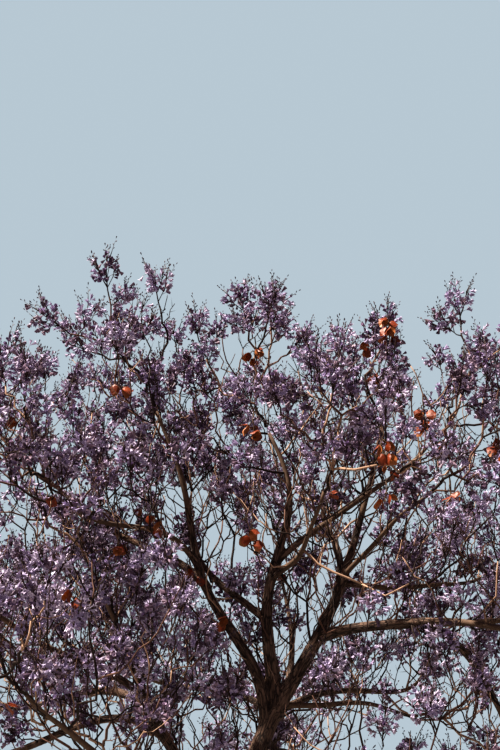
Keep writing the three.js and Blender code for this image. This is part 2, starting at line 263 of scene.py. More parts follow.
def limb_lines(parent, share, azimuth, reach, height, sways):
    """A limb's line with the part's facets and one with finer steps."""
    foot, direction = place_on(parent, share)
    heading = math.radians(azimuth)
    tip = np.array([math.cos(heading) * reach, math.sin(heading) * reach, height])
    length = np.linalg.norm(tip - foot)
    straight = (tip - foot) / length
    leaving = foot + mixed(straight, direction, DEPARTURE) * length * HANDLE
    arriving = tip - mixed(straight, UP, UPTURN) * length * HANDLE
    sideways = unit(cross([0, 1, 0], straight))
    steps = max(4, math.floor(length / FACET_LENGTH + 0.5))
    lines = []
    for count in (steps, steps * SMOOTHER):
        t = np.linspace(0, 1, count + 1)[:, None]
        sway = sum(size * np.sin((k + 1) * math.pi * t) for k, size in enumerate(sways))
        lines.append(curve(foot, leaving, arriving, tip, t) + sideways * sway)
    return lines


def trunk_line(heights):
    share = np.array(heights)[:, None] / TRUNK_HEIGHT
    bow = TRUNK_SWAY * np.sin(math.pi * share)
    return np.hstack([TRUNK_LEAN[0] * share + bow, TRUNK_LEAN[1] * share, share * TRUNK_HEIGHT])


def trunk_radius(height):
    if height == TRUNK_HEIGHT:
        return CROTCH_RADIUS
    return TRUNK_RADIUS + (FORK_RADIUS - TRUNK_RADIUS) * height / TRUNK_HEIGHT


trunk = {"name": "trunk", "line": trunk_line(TRUNK_HEIGHTS), "pods": 0}
trunk["radii"] = np.array([trunk_radius(height) for height in TRUNK_HEIGHTS])
trunk_steps = [-ROOT_DEPTH, *np.linspace(0, TRUNK_HEIGHT - CROTCH_DROP, 40), TRUNK_HEIGHT]
trunk["fine"] = trunk_line(trunk_steps)
true_radii = [trunk_radius(max(height, 0)) for height in trunk_steps[:-1]]
trunk["fine_radii"] = np.array([*true_radii, NECK_RADIUS])
limbs = [trunk]
for name, parent_name, share, azimuth, reach, height, sways, pods in LIMBS:
    parent = next(limb for limb in limbs if limb["name"] == parent_name)
    line, fine = limb_lines(parent["line"], share, azimuth, reach, height, sways)
    length = np.linalg.norm(line[1:] - line[:-1], axis=1).sum()
    foot_radius = FOOT_RADII.get(name, TIP_RADIUS + FOOT_GAIN * length)
    limb = {"name": name, "pods": pods, "line": line, "fine": fine}
    limb["radii"] = np.linspace(foot_radius, TIP_RADIUS, len(line))
    limb["fine_radii"] = np.linspace(foot_radius, TIP_RADIUS, len(fine))
    if name == "stem_right":
        walked = np.linspace(0, length, len(fine))
        limb["fine_radii"] += (NECK_RADIUS - foot_radius) * np.exp(-((walked / NECK_FALL) ** 2))
    limbs.append(limb)


class Pile:
    """Loose closed shapes that become one piece, each face with its material's place in the list."""

    def __init__(self):
        self.vertices = []
        self.faces = []
        self.slots = []
        self.count = 0

    def add(self, vertices, faces, slot=0):
        self.vertices.append(vertices)
        self.faces.append(faces + self.count)
        self.slots.append(np.broadcast_to(slot, len(faces)))
        self.count += len(vertices)


def make_piece(name, pile, materials, smooth):
    """The pile as one mesh, in metres, that rides on the tree's one body."""
    mesh = bpy.data.meshes.new(name)
    mesh.from_pydata(np.concatenate(pile.vertices) / 1000, [], np.concatenate(pile.faces))
    for material in materials:
        mesh.materials.append(material)
    mesh.polygons.foreach_set("material_index", np.concatenate(pile.slots).astype(np.int32))
    mesh.polygons.foreach_set("use_smooth", np.full(len(mesh.polygons), smooth))
    mesh.update()
    piece = bpy.data.objects.new(name, mesh)
    bpy.context.scene.collection.objects.link(piece)
    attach(piece, "root")
    return piece


def frames_along(line):
    """Two directions across a line at each of its points, which turn as little as they can."""
    sides = []
    along = tangents(line)
    side = np.array([1.0, 0, 0]) if abs(along[0][0]) < 0.9 else np.array([0, 1.0, 0])
    for forward in along:
        side = unit(side - forward * (side @ forward))
        sides.append(side)
    return np.array(sides), np.cross(along, sides)


tube_faces = {}


def tube(line, radii, sides):
    """A closed tube along a line, with a point at the middle of each end."""
    rings = len(line)
    if (rings, sides) not in tube_faces:
        ring, j = np.divmod(np.arange((rings - 1) * sides), sides)
        a, b = ring * sides + j, ring * sides + (j + 1) % sides
        wall = [np.stack([a, b, b + sides], 1), np.stack([a, b + sides, a + sides], 1)]
        j = np.arange(sides)
        after = (j + 1) % sides
        foot, tip = np.full(sides, rings * sides), np.full(sides, rings * sides + 1)
        top = (rings - 1) * sides
        caps = [np.stack([foot, after, j], 1), np.stack([tip, top + j, top + after], 1)]
        tube_faces[rings, sides] = np.concatenate(wall + caps)
    turn = np.arange(sides) * 2 * math.pi / sides
    circle = np.stack([np.cos(turn), np.sin(turn)], 1)
    across = np.stack(frames_along(line), 1)
    made = [point + radius * (circle @ pair) for point, radius, pair in zip(line, radii, across)]
    return np.concatenate([*made, line[:1], line[-1:]]), tube_faces[rings, sides]


def smooth_share(value):
    t = np.clip(value, 0, 1)
    return t * t * (3 - 2 * t)


def flare(heights):
    """How far the trunk's foot swells at each height."""
    return (FLARE_RADIUS - TRUNK_RADIUS) * np.exp(-np.maximum(heights, 0) / FLARE_FALL)


def no_bark(count):
    """For each of some points: the distance to the bark, the way out, the limb's radius and the place on
    it, before any limb is looked at."""
    return [np.full(count, np.inf), np.tile(UP, (count, 1)), np.ones(count), np.zeros((count, 3))]


def limb_at(limb, points):
    """The same for the nearest stretch of a limb."""
    line, radii = limb["skin"], limb["skin_radii"]
    spans = line[1:] - line[:-1]
    lengths = np.linalg.norm(spans, axis=1)
    walked = np.concatenate([[0], np.cumsum(lengths)])
    sides, others = frames_along(line)
    nearest = no_bark(len(points))
    for i, span in enumerate(spans):
        from_start = points - line[i]
        t = np.clip(from_start @ span / lengths[i] ** 2, 0, 1)
        offset = from_start - t[:, None] * span
        far = np.linalg.norm(offset, axis=1) + 1e-9
        thick = radii[i] + (radii[i + 1] - radii[i]) * t
        if limb is trunk:
            angle = np.arctan2(offset[:, 1], offset[:, 0])
            thick = thick + flare(points[:, 2]) * (1 + FLARE_RIB_DEPTH * np.cos(FLARE_RIBS * angle))
        place = np.stack([offset @ sides[i], offset @ others[i], walked[i] + t * lengths[i]], 1)
        nearer = far - thick < nearest[0]
        for kept, found in zip(nearest, (far - thick, offset / far[:, None], thick, place)):
            kept[nearer] = found[nearer]
    return nearest


def skin_at(points):
    """The bark's smooth skin: its distance, its way out, the local radius, the place on the nearest limb,
    and how alone that limb is there."""
    nearest, runner_up = no_bark(len(points)), no_bark(len(points))
    for number, limb in enumerate(limbs):
        reach = REACH_RADII * limb["skin_radii"].max() + REACH_MORE
        low, high = limb["skin"].min(0) - reach, limb["skin"].max(0) + reach
        near = np.nonzero(((points > low) & (points < high)).all(1))[0]
        found = limb_at(limb, points[near])
        found[3] += [number * LIMBS_APART, 0, 0]
        first = found[0] < nearest[0][near]
        second = ~first & (found[0] < runner_up[0][near])
        for best, next_best, values in zip(nearest, runner_up, found):
            next_best[near[first]] = best[near[first]]
            best[near[first]] = values[first]
            next_best[near[second]] = values[second]
    distance, way, radius, place = nearest
    apart = np.abs(runner_up[0] - distance)
    blend = np.maximum(COLLAR * np.minimum(radius, runner_up[2]), LEAST_COLLAR)
    shared = np.maximum(blend - apart, 0) / blend
    distance = distance - shared**2 * blend / 4
    way = way * (1 - shared / 2)[:, None] + runner_up[1] * (shared / 2)[:, None]
    way /= np.linalg.norm(way, axis=1)[:, None] + 1e-9
    return distance, way, radius, place, smooth_share(apart / FORK_REACH)


for limb in limbs:
    thick = max(int((limb["fine_radii"] >= THICK_RADIUS).sum()), 2)
    limb["skin"], limb["skin_radii"] = limb["fine"][:thick], limb["fine_radii"][:thick]

rough = Pile()
for limb in limbs:
    radii = limb["skin_radii"] + (flare(limb["skin"][:, 2]) if limb is trunk else 0)
    rough.add(*tube(limb["skin"], radii, 24 if radii[0] > STOUT_RADIUS else 12))
bark = make_piece("bark", rough, [], True)
bpy.context.view_layer.objects.active = bark
remesh = bark.modifiers.new("one skin", "REMESH")
remesh.mode = "VOXEL"
remesh.voxel_size = VOXEL / 1000
bpy.ops.object.modifier_apply(modifier=remesh.name)

skin = np.zeros(len(bark.data.vertices) * 3)
bark.data.vertices.foreach_get("co", skin)
skin = skin.reshape(-1, 3) * 1000
for _ in range(SKIN_STEPS):
    distance, way, radius, place, alone = skin_at(skin)
    skin -= way * np.clip(distance, -VOXEL, VOXEL)[:, None]
furrow = np.zeros(len(skin))
lump = np.zeros(len(skin))
for i, (x, y, z) in enumerate(place):
    grain = Vector((x, y, z / FURROW_STRETCH)) / FURROW_SPACING
    wander = noise.noise(grain * WANDER_SCALE) * WANDER
    furrow[i] = abs(noise.noise(grain + Vector((wander, -wander, wander)))) * FURROW_STEEPNESS
    lump[i] = noise.noise(Vector((x, y, z / LUMP_STRETCH)) / LUMP_SPACING)
furrow = np.clip(furrow, 0, 1)
depth = np.minimum(FURROW_DEPTH * radius, DEEPEST_FURROW) * (FORK_FURROWS + (1 - FORK_FURROWS) * alone)
swelling = np.minimum(SWELLING * radius, HIGHEST_LUMP) * lump
skin += way * (depth * (furrow - FURROW_MIDDLE) + swelling)[:, None]
bark.data.vertices.foreach_set("co", (skin / 1000).ravel())

form = bmesh.new()
form.from_mesh(bark.data)
ridge = form.verts.layers.float.new("ridge")
grain = form.verts.layers.float_vector.new("grain")
for vertex, height, spot in zip(form.verts, furrow, place / 1000):
    vertex[ridge] = height
    vertex[grain] = spot
everything = form.verts[:] + form.edges[:] + form.faces[:]
bmesh.ops.bisect_plane(form, geom=everything, plane_co=(0, 0, 0), plane_no=(0, 0, 1), clear_inner=True)
bmesh.ops.holes_fill(form, edges=[edge for edge in form.edges if edge.is_boundary])
bmesh.ops.recalc_face_normals(form, faces=form.faces[:])
form.to_mesh(bark.data)
form.free()

slender = Pile()
for limb in limbs[1:]:
    start = max(len(limb["skin"]) - 2, 0)
    line, radii = limb["fine"][start::2], limb["fine_radii"][start::2] * SLENDER_FIT
    slender.add(*tube(line, radii, SLENDER_SIDES))
ends = make_piece("bark_ends", slender, [], True)

# Thin brown bark in small long plates: their faces are weathered in patches, and the fissures between them
# are painted nearly black, partly dark inner bark and partly painted shade in them.
bark_skin = plain_skin("furrowed_jacaranda_bark", "#8b7262", 0.9)
tree = bark_skin.node_tree
shader = tree.nodes["Principled BSDF"]
MIX_SHARE, MIX_A, MIX_B, MIX_RESULT = 0, 6, 7, 2  # a colour mix node's sockets
grain = add_node(tree, "ShaderNodeAttribute", attribute_name="grain").outputs["Vector"]
ridge = add_node(tree, "ShaderNodeAttribute", attribute_name="ridge").outputs["Fac"]
stretch = {"Vector": grain, "Scale": (1, 1, 1 / PLATE_STRETCH)}
long_grain = add_node(tree, "ShaderNodeMapping", stretch).outputs[0]
waver = add_node(tree, "ShaderNodeTexNoise", {"Vector": grain, "Scale": 18, "Detail": 3}).outputs["Color"]
bend = {0: waver, 1: (PLATE_WAVER / 1000,) * 3, 2: long_grain}
bent_grain = add_node(tree, "ShaderNodeVectorMath", bend, operation="MULTIPLY_ADD").outputs[0]
plate_size = {"Vector": bent_grain, "Scale": 1000 / PLATE_WIDTH}
edges = add_node(tree, "ShaderNodeTexVoronoi", plate_size, feature="DISTANCE_TO_EDGE").outputs["Distance"]
plate_tone = add_node(tree, "ShaderNodeTexVoronoi", plate_size).outputs["Color"]
weather = {"Vector": grain, "Scale": 11, "Detail": 6, "Roughness": 0.6}
patches = add_node(tree, "ShaderNodeTexNoise", weather).outputs["Fac"]
tones = {0: plate_tone, 1: 0.4, 2: patches}
tone = add_node(tree, "ShaderNodeMath", tones, operation="MULTIPLY_ADD").outputs[0]
shade = add_node(tree, "ShaderNodeMapRange", {"Value": tone, "From Min": 0.4, "From Max": 1}).outputs[0]
browns = {MIX_SHARE: shade, MIX_A: linear("#3c2d27"), MIX_B: linear("#8b7262")}
face_colour = add_node(tree, "ShaderNodeMix", browns, data_type="RGBA").outputs[MIX_RESULT]
worn = add_node(tree, "ShaderNodeTexNoise", {"Vector": bent_grain, "Scale": 35, "Detail": 2}).outputs["Fac"]
gap = add_node(tree, "ShaderNodeMath", {0: worn, 1: -0.35, 2: edges}, operation="MULTIPLY_ADD").outputs[0]
rise = {"Value": gap, "From Min": -0.2, "From Max": -0.02, "To Min": 0.1}
faces = add_node(tree, "ShaderNodeMapRange", rise, interpolation_type="SMOOTHSTEP").outputs[0]
# Painted shade: the bark is painted darker where the mesh's own furrows sink in, by the ridge attribute.
climb = {"Value": ridge, "From Min": 0, "From Max": 0.45, "To Min": 0.35}
shown = add_node(tree, "ShaderNodeMapRange", climb, interpolation_type="SMOOTHSTEP").outputs[0]
depth = add_node(tree, "ShaderNodeMath", {0: faces, 1: shown}, operation="MULTIPLY").outputs[0]
# The fissures and the furrow bottoms take a near black: dark inner bark with painted shade over it.
fissure_and_painted_shade = {MIX_SHARE: depth, MIX_A: linear("#1c1512"), MIX_B: face_colour}
colour = add_node(tree, "ShaderNodeMix", fissure_and_painted_shade, data_type="RGBA").outputs[MIX_RESULT]
fine = add_node(tree, "ShaderNodeTexNoise", {"Vector": bent_grain, "Scale": 160, "Detail": 4}).outputs["Fac"]
height = add_node(tree, "ShaderNodeMath", {0: fine, 1: 0.5, 2: faces}, operation="MULTIPLY_ADD").outputs[0]
bump = add_node(tree, "ShaderNodeBump", {"Height": height, "Strength": 0.9, "Distance": 0.004})
tree.links.new(colour, shader.inputs["Base Color"])
tree.links.new(bump.outputs[0], shader.inputs["Normal"])
bark.data.materials.append(bark_skin)
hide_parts(*[limb["name"] for limb in limbs])


def patched_skin(name, dark, light, patches_a_metre, roughness):
    """A material of two colours in soft patches."""
    made = plain_skin(name, dark, roughness)
    tree = made.node_tree
    place = add_node(tree, "ShaderNodeTexCoord").outputs["Object"]
    patches = add_node(tree, "ShaderNodeTexNoise", {"Vector": place, "Scale": patches_a_metre, "Detail": 4})
    colours = {MIX_SHARE: patches.outputs["Fac"], MIX_A: linear(dark), MIX_B: linear(light)}
    colour = add_node(tree, "ShaderNodeMix", colours, data_type="RGBA")
    tree.links.new(colour.outputs[MIX_RESULT], tree.nodes["Principled BSDF"].inputs["Base Color"])
    return made


# The bark of the slender ends is younger: smooth, and weathered in patches.
young_bark = patched_skin("young_jacaranda_bark", "#3a2b25", "#806854", 40, 0.85)
ends.data.materials.append(young_bark)


# The twigs: at each limb's tip a spray of forked twigs by a seeded rule, and slender shoots that leave
# the limbs and twigs along their length and curve up. They are wood of one to three years, smooth and in
# three browns, and many of them end bare.
SEED = 4
STEM_LENGTH = 160
TWIG_LENGTHS = [320, 230]
TWIG_RADII = [9, 7.6, 6.2, 4.8]
FIRST_FORKS = 3
NEXT_FORKS = 2
FORK_SPREAD = 48
TWIG_LIFT = 0.3
PANICLE_LENGTH = 310
PANICLE_RADIUS = 108
PANICLE_WAIST = 0.5
PANICLE_SINK = 28
PANICLE_SPACING = 150
SIDE_PANICLE_TILT = 85
MASS_LEAD = 400
MASS_RISE = 0.5
MASS_GAP = 5
LIMB_GAP = 6
SEAT_GAP = 0.3
TOP_HEIGHT = 6000
CROWN_REACH = 2620
POD_RADIUS = 32  # of the part's pods
POD_STALK_LENGTH = 110

SHOOT_SPACING = 95  # between the shoots along a limb
SHOOT_LENGTHS = [150, 210, 280, 350]  # by how often the shoot still forks
SHOOT_RADII = [2.1, 2.9, 4, 5.5, 7.5]  # of its tip and then of its foot by how often it still forks
SHOOT_LIFT = 1.1
SHOOT_START = 0.2  # share of a limb's length before its first shoot
SHOOT_TURN = 2.4  # radians round the limb from one shoot to the next
KINK = 0.045  # how far a twig strays sideways at each bud scar, against its length
AXIS_RADII = (4.2, 2)  # of a panicle's stem
SPUR_LENGTHS = (18, 60)
SPUR_RADIUS = 1.8
SPURS_A_SHOOT = 3
BARE_SHARE = 0.5  # of the shoots without blossom that stay
BARE_DEPTH = 130  # how far under the crown's outline a bare shoot ends
WINDOW_EMPTY = 0.6  # share of the panicles that are left out in the window of sky
FINE_SPACINGS = (190, 262)  # least distance between panicles on shoots, left and right in the photograph
SIDE_EDGES = (130, 270)  # pixels across between which the one spacing turns into the other
UPRIGHT_SPACING = 0.86  # how much less a height counts in that distance, so that clumps stand apart
FINE_SIZES = (0.65, 0.95)  # of their panicles against a full one
OPEN_MIDDLE = (300, 585)  # pixel of the photograph at the middle of the window of sky in the crown
OPEN_REACH = (95, 120)  # pixels from there to the window's edge, across and up
SHOWN_LIMBS = ["trunk", "stem_right", "stem_left", "left_leader"]  # that stand free in the photograph
SHOWN_LIMBS += ["stem_low_left", "left_front", "left_low", "front_left_low", "far_left"]
SHOWN_REACH = 20  # pixels to each side of them that panicles in front would hide
SHOWN_SHARE = 0.75  # of the panicles in front of them that are left out
CROWN_MARGIN = 35  # that the sprigs and flowers may stand out of a panicle's own reach
SHOOT_MARGIN = 20  # that a shoot's end keeps besides
SHOOT_FORK_ODDS = [0.35, 0.4, 0.25]  # that a shoot from a limb forks once, twice or three times over
TWO_FORK_ODDS = 0.6  # that a shoot forks in two and not in three
LIMB_ROOM = 0.6  # of its radius that a panicle keeps from the limbs
TWIG_STEPS = 5
# Pixels of the photograph along the crown's top, from its left side to its right.
OUTLINE = [(0, 340), (50, 345), (90, 325), (125, 268), (150, 268), (190, 285), (215, 285), (240, 305)]
OUTLINE += [(272, 270), (295, 290), (320, 330), (350, 310), (375, 300), (400, 345), (430, 330)]
OUTLINE += [(455, 308), (480, 320), (500, 350)]


def generator(seed):
    """A seeded generator of numbers between two limits."""
    state = seed * 7919 + 17

    def between(low, high):
        nonlocal state
        state = state * 16807 % 2147483647
        return low + (high - low) * state / 2147483647

    return between


def turned_about(vector, axis, angle):
    cos, sin = math.cos(angle), math.sin(angle)
    return vector * cos + cross(axis, vector) * sin + axis * ((axis @ vector) * (1 - cos))


def forked_from(direction, degrees, turn):
    """A direction at an angle from another, turned about it."""
    side = unit(np.array([direction[2], 0, -direction[0]]))
    return turned_about(direction, turned_about(side, direction, turn), math.radians(degrees))


carriers = limbs[1:]
middles = []
for limb in carriers:
    rising = mixed(tangents(limb["line"])[-1], UP, MASS_RISE)
    middles.append(limb["line"][-1] + rising * MASS_LEAD)
middles = np.array(middles)
span_starts = np.concatenate([limb["line"][:-1] for limb in limbs])
spans = np.concatenate([limb["line"][1:] - limb["line"][:-1] for limb in limbs])
span_radii = np.concatenate([limb["radii"][:-1] for limb in limbs])
span_gains = np.concatenate([limb["radii"][1:] - limb["radii"][:-1] for limb in limbs])
span_squares = (spans**2).sum(1)


def clear_of_limbs(point):
    """The distance from a point to the nearest bark of any limb."""
    from_start = point - span_starts
    t = np.clip((from_start * spans).sum(1) / span_squares, 0, 1)
    offset = from_start - spans * t[:, None]
    return (np.sqrt((offset**2).sum(1)) - span_radii - span_gains * t).min()


def grow_mass(limb, index):
    """The twigs, panicles and pods at a limb's tip, as they are in the part."""
    between = generator(SEED + index)
    heading = tangents(limb["line"])[-1]
    twigs, panicles, pods = [], [], []
    across = np.delete(middles, index, 0) - middles[index]
    apart = np.linalg.norm(across, axis=1)

    def in_space(point, radius):
        along = (across / apart[:, None]) @ (point - middles[index])
        low = point[2] + radius < TOP_HEIGHT and math.hypot(point[0], point[1]) + radius < CROWN_REACH
        return low and bool((along + radius < apart / 2 - MASS_GAP).all())

    def clear(point, radius):
        return in_space(point, radius) and clear_of_limbs(point) > radius + LIMB_GAP

    def add_panicle(twig, foot, direction, size):
        length = PANICLE_LENGTH * size
        radius = PANICLE_RADIUS * size
        axis = mixed(direction, UP, between(0.3, 0.9))
        middle = foot + axis * length * PANICLE_WAIST
        free = clear(middle, radius) and in_space(foot + axis * length, 0)
        free = free and all(np.linalg.norm(other["middle"] - middle) > PANICLE_SPACING for other in panicles)
        if free:
            between(0, math.pi)
            panicles.append({"twig": twig, "foot": foot, "axis": axis, "size": size, "middle": middle})
        return free

    def add_pods(start, count):
        knot = start - UP * POD_STALK_LENGTH
        for i in range(count):
            turn = 2 * math.pi * (i + between(-0.2, 0.2)) / count
            outward = unit(np.array([math.cos(turn), math.sin(turn), between(-1.2, 0.3)]))
            middle = knot + outward * POD_RADIUS * 1.15
            apart = all(
                np.linalg.norm(other["middle"] - middle) > other["size"] * PANICLE_LENGTH / 2
                for other in panicles
            )
            if apart and clear(middle, POD_RADIUS):
                pods.append({"from": start, "knot": knot, "outward": outward, "turn": between(0, math.pi)})

    def add_twig(start, direction, order):
        length = TWIG_LENGTHS[order] * between(0.78, 1.15)
        bend = start + direction * length / 2
        turned = mixed(direction, UP, TWIG_LIFT * between(0.4, 1.3))
        end = bend + turned * length / 2
        if not clear(bend, TWIG_RADII[order + 1]) or not clear(end, TWIG_RADII[order + 2]):
            return False
        ends = TWIG_RADII[order + 1 : order + 3]
        twig = {"from": start, "leaving": direction, "to": end, "arriving": turned, "radii": ends}
        twigs.append(twig)
        if order + 1 < len(TWIG_LENGTHS) and add_forks(end, turned, order + 1, NEXT_FORKS):
            return True
        side = forked_from(turned, SIDE_PANICLE_TILT, between(0, 2 * math.pi))
        ended = add_panicle(twig, end - turned * PANICLE_SINK, turned, between(0.85, 1.1))
        flank = end - turned * length * between(0.2, 0.4)
        flanked = add_panicle(twig, flank, side, between(0.75, 0.95))
        twig["radii"] = ends[0], AXIS_RADII[0]
        if not ended and not flanked:
            twigs.pop()
        return ended or flanked

    def add_forks(end, direction, order, count):
        turn = between(0, 2 * math.pi)
        made = 0
        for i in range(count):
            spread = FORK_SPREAD * between(0.6, 1.2)
            side = forked_from(direction, spread, turn + 2 * math.pi * (i + between(-0.2, 0.2)) / count)
            if add_twig(end - direction * TWIG_RADII[order + 1], side, order):
                made += 1
        return made > 0

    foot = limb["line"][-1] + heading * SEAT_GAP
    end = foot + heading * STEM_LENGTH
    twigs.append({"from": foot, "leaving": heading, "to": end, "arriving": heading, "radii": TWIG_RADII[:2]})
    add_forks(end, heading, 0, FIRST_FORKS)
    if limb["pods"]:
        add_pods(foot + heading * STEM_LENGTH * 0.8, limb["pods"])
    return twigs, panicles, pods


twigs, panicles, pods = [], [], []
for index, limb in enumerate(carriers):
    for grown, more in zip((twigs, panicles, pods), grow_mass(limb, index)):
        grown += more

rng = np.random.default_rng(SEED)


def bent_line(start, leaving, end, arriving, steps):
    """The curve of a twig from where it leaves to where it ends, with a kink at each year's bud scar."""
    length = np.linalg.norm(end - start)
    t = np.linspace(0, 1, steps + 1)[:, None]
    near, far = start + leaving * length * HANDLE, end - arriving * length * HANDLE
    line = curve(start, near, far, end, t)
    line[1:-1] += rng.normal(0, KINK * length, (steps - 1, 3))
    return line


for twig in twigs:
    twig["line"] = bent_line(twig["from"], twig["leaving"], twig["to"], twig["arriving"], TWIG_STEPS)


def pixel_of(point):
    """Where the camera sees a point, in pixels of the photograph."""
    view = point / 1000 - np.array(EYE)
    focal = LENS / SENSOR * PHOTO_HEIGHT
    depth = view[..., 1] * math.cos(LOOK_UP) + view[..., 2] * math.sin(LOOK_UP)
    rise = view[..., 2] * math.cos(LOOK_UP) - view[..., 1] * math.sin(LOOK_UP)
    return PHOTO_WIDTH / 2 + focal * view[..., 0] / depth, PHOTO_HEIGHT / 2 - focal * rise / depth


def under_outline(point):
    across, down = pixel_of(point)
    return down > np.interp(across, *zip(*OUTLINE))


def in_window(point):
    across, down = (np.array(pixel_of(point)) - OPEN_MIDDLE) / OPEN_REACH
    return math.hypot(across, down) < 1


shown = np.concatenate([limb["fine"] for limb in limbs if limb["name"] in SHOWN_LIMBS])
shown_across, shown_down = pixel_of(shown)


def before_limb(point):
    across, down = pixel_of(point)
    beside = np.hypot(shown_across - across, shown_down - down) < SHOWN_REACH
    return (beside & (shown[:, 1] > point[1])).any()


box_low, box_high = (np.array(corner) * 1000 for corner in part_box)


def in_crown(point, radius):
    """Whether a ball about the point is inside the part's reach."""
    reach = radius + CROWN_MARGIN
    inside = (point - reach > box_low).all() and (point + reach < box_high).all()
    return inside and math.hypot(point[0], point[1]) + reach < CROWN_REACH


shoots = []
fine_panicles = []


def add_fine_panicle(shoot, direction, size):
    axis = mixed(direction, UP, rng.uniform(0.3, 1))
    foot = shoot["line"][-1] - direction * PANICLE_SINK * size
    middle = foot + axis * PANICLE_LENGTH * size / 2
    radius = PANICLE_RADIUS * size
    tip = foot + axis * PANICLE_LENGTH * size
    placed = in_crown(middle, radius) and in_crown(tip, 0) and under_outline(tip)
    if not placed or (in_window(middle) and rng.uniform() < WINDOW_EMPTY):
        return False
    if before_limb(middle) and rng.uniform() < SHOWN_SHARE:
        return False
    if clear_of_limbs(middle) < radius * LIMB_ROOM:
        return False
    taken = np.array([other["middle"] for other in panicles + fine_panicles])
    spacing = np.interp(pixel_of(middle)[0], SIDE_EDGES, FINE_SPACINGS)
    if np.linalg.norm((taken - middle) * [1, 1, UPRIGHT_SPACING], axis=1).min() < spacing:
        return False
    fine_panicles.append({"twig": shoot, "foot": foot, "axis": axis, "size": size, "middle": middle})
    return True


def add_shoot(start, direction, forks, length):
    """A shoot that curves up from where it leaves, with its forks, and whether it was kept. One with no
    blossom is kept only by chance, and only well inside the crown."""
    rise = mixed(direction, UP, SHOOT_LIFT * rng.uniform(0.4, 1.6))
    end = start + (direction + rise) * length / 2
    free = clear_of_limbs(end) >= LIMB_GAP + SHOOT_RADII[forks]
    if not (free and in_crown(end, SHOOT_MARGIN) and under_outline(end)):
        return False
    before = len(shoots)
    line = bent_line(start, direction, end, rise, 4 if forks else 3)
    shoots.append({"line": line, "radii": (SHOOT_RADII[forks + 1], SHOOT_RADII[forks])})
    if forks:
        turn = rng.uniform(0, 2 * math.pi)
        count = 2 if rng.uniform() < TWO_FORK_ODDS else 3
        kept = 0
        for i in range(count):
            side = forked_from(rise, FORK_SPREAD * rng.uniform(0.5, 1.2), turn + 2 * math.pi * i / count)
            kept += add_shoot(end, side, forks - 1, SHOOT_LENGTHS[forks - 1] * rng.uniform(0.7, 1.25))
        if kept:
            return True
    elif add_fine_panicle(shoots[before], rise, rng.uniform(*FINE_SIZES)):
        return True
    if rng.uniform() < BARE_SHARE and under_outline(end + UP * BARE_DEPTH):
        return True
    del shoots[before:]
    return False


for limb in carriers:
    line = limb["fine"]
    walked = np.concatenate([[0], np.cumsum(np.linalg.norm(line[1:] - line[:-1], axis=1))])
    at = walked[-1] * SHOOT_START + rng.uniform(0, SHOOT_SPACING)
    turn = rng.uniform(0, 2 * math.pi)
    while at < walked[-1]:
        i = int(np.searchsorted(walked, at)) - 1
        forward = unit(line[i + 1] - line[i])
        turn += SHOOT_TURN * rng.uniform(0.8, 1.2)
        side = forked_from(forward, rng.uniform(40, 80), turn)
        forks = int(rng.choice([1, 2, 3], p=SHOOT_FORK_ODDS))
        add_shoot(line[i], side, forks, SHOOT_LENGTHS[forks] * rng.uniform(0.7, 1.25))
        at += SHOOT_SPACING * rng.uniform(0.7, 1.3)
for twig in twigs:
    for i in range(1, TWIG_STEPS):
        forward = unit(twig["line"][i + 1] - twig["line"][i])
        side = forked_from(forward, rng.uniform(40, 75), rng.uniform(0, 2 * math.pi))
        add_shoot(twig["line"][i], side, 0, SHOOT_LENGTHS[0] * rng.uniform(0.8, 1.4))

# A spike and a small double cone, each of a few faces, of which the thinnest wood and the buds are made.
third = 2 * math.pi / 3
SPIKE = np.array([(math.cos(i * third), math.sin(i * third), 0) for i in range(3)] + [(0, 0, 1)])
SPIKE_FACES = np.array([(0, 2, 1), (0, 1, 3), (1, 2, 3), (2, 0, 3)])
BUD = np.array([(0, 0, 0), *[(math.cos(i * third), math.sin(i * third), 0.72) for i in range(3)], (0, 0, 1)])
BUD_FACES = np.array([(0, 2, 1), (0, 3, 2), (0, 1, 3), (4, 1, 2), (4, 2, 3), (4, 3, 1)])


def scattered(corners, faces, places, ways, widths, lengths):
    """Copies of a shape that points along +Z, each at a place, turned to a way and rolled by chance."""
    across = units(np.cross(ways, np.where(np.abs(ways[:, 2:]) > 0.9, [[1.0, 0, 0]], [[0, 0, 1.0]])))
    other = np.cross(ways, across)
    rolls = rng.uniform(0, 2 * math.pi, len(places))
    cos, sin = np.cos(rolls)[:, None], np.sin(rolls)[:, None]
    x, y = across * cos + other * sin, other * cos - across * sin
    made = places[:, None] + (
        corners[None, :, :1] * (x * widths[:, None])[:, None]
        + corners[None, :, 1:2] * (y * widths[:, None])[:, None]
        + corners[None, :, 2:] * (ways * lengths[:, None])[:, None]
    )
    step = np.arange(len(places)) * len(corners)
    return made.reshape(-1, 3), (faces[None] + step[:, None, None]).reshape(-1, 3)


# Twig bark is dull and smooth, in browns that differ from twig to twig, and some is weathered pale.
TWIG_TONES = {"dark_twig_bark": "#33241e", "brown_twig_bark": "#684c3f", "weathered_twig_bark": "#a98b75"}
TWIG_TONE_SHARES = [0.45, 0.33, 0.22]
TWIG_ROUGHNESS = 0.8

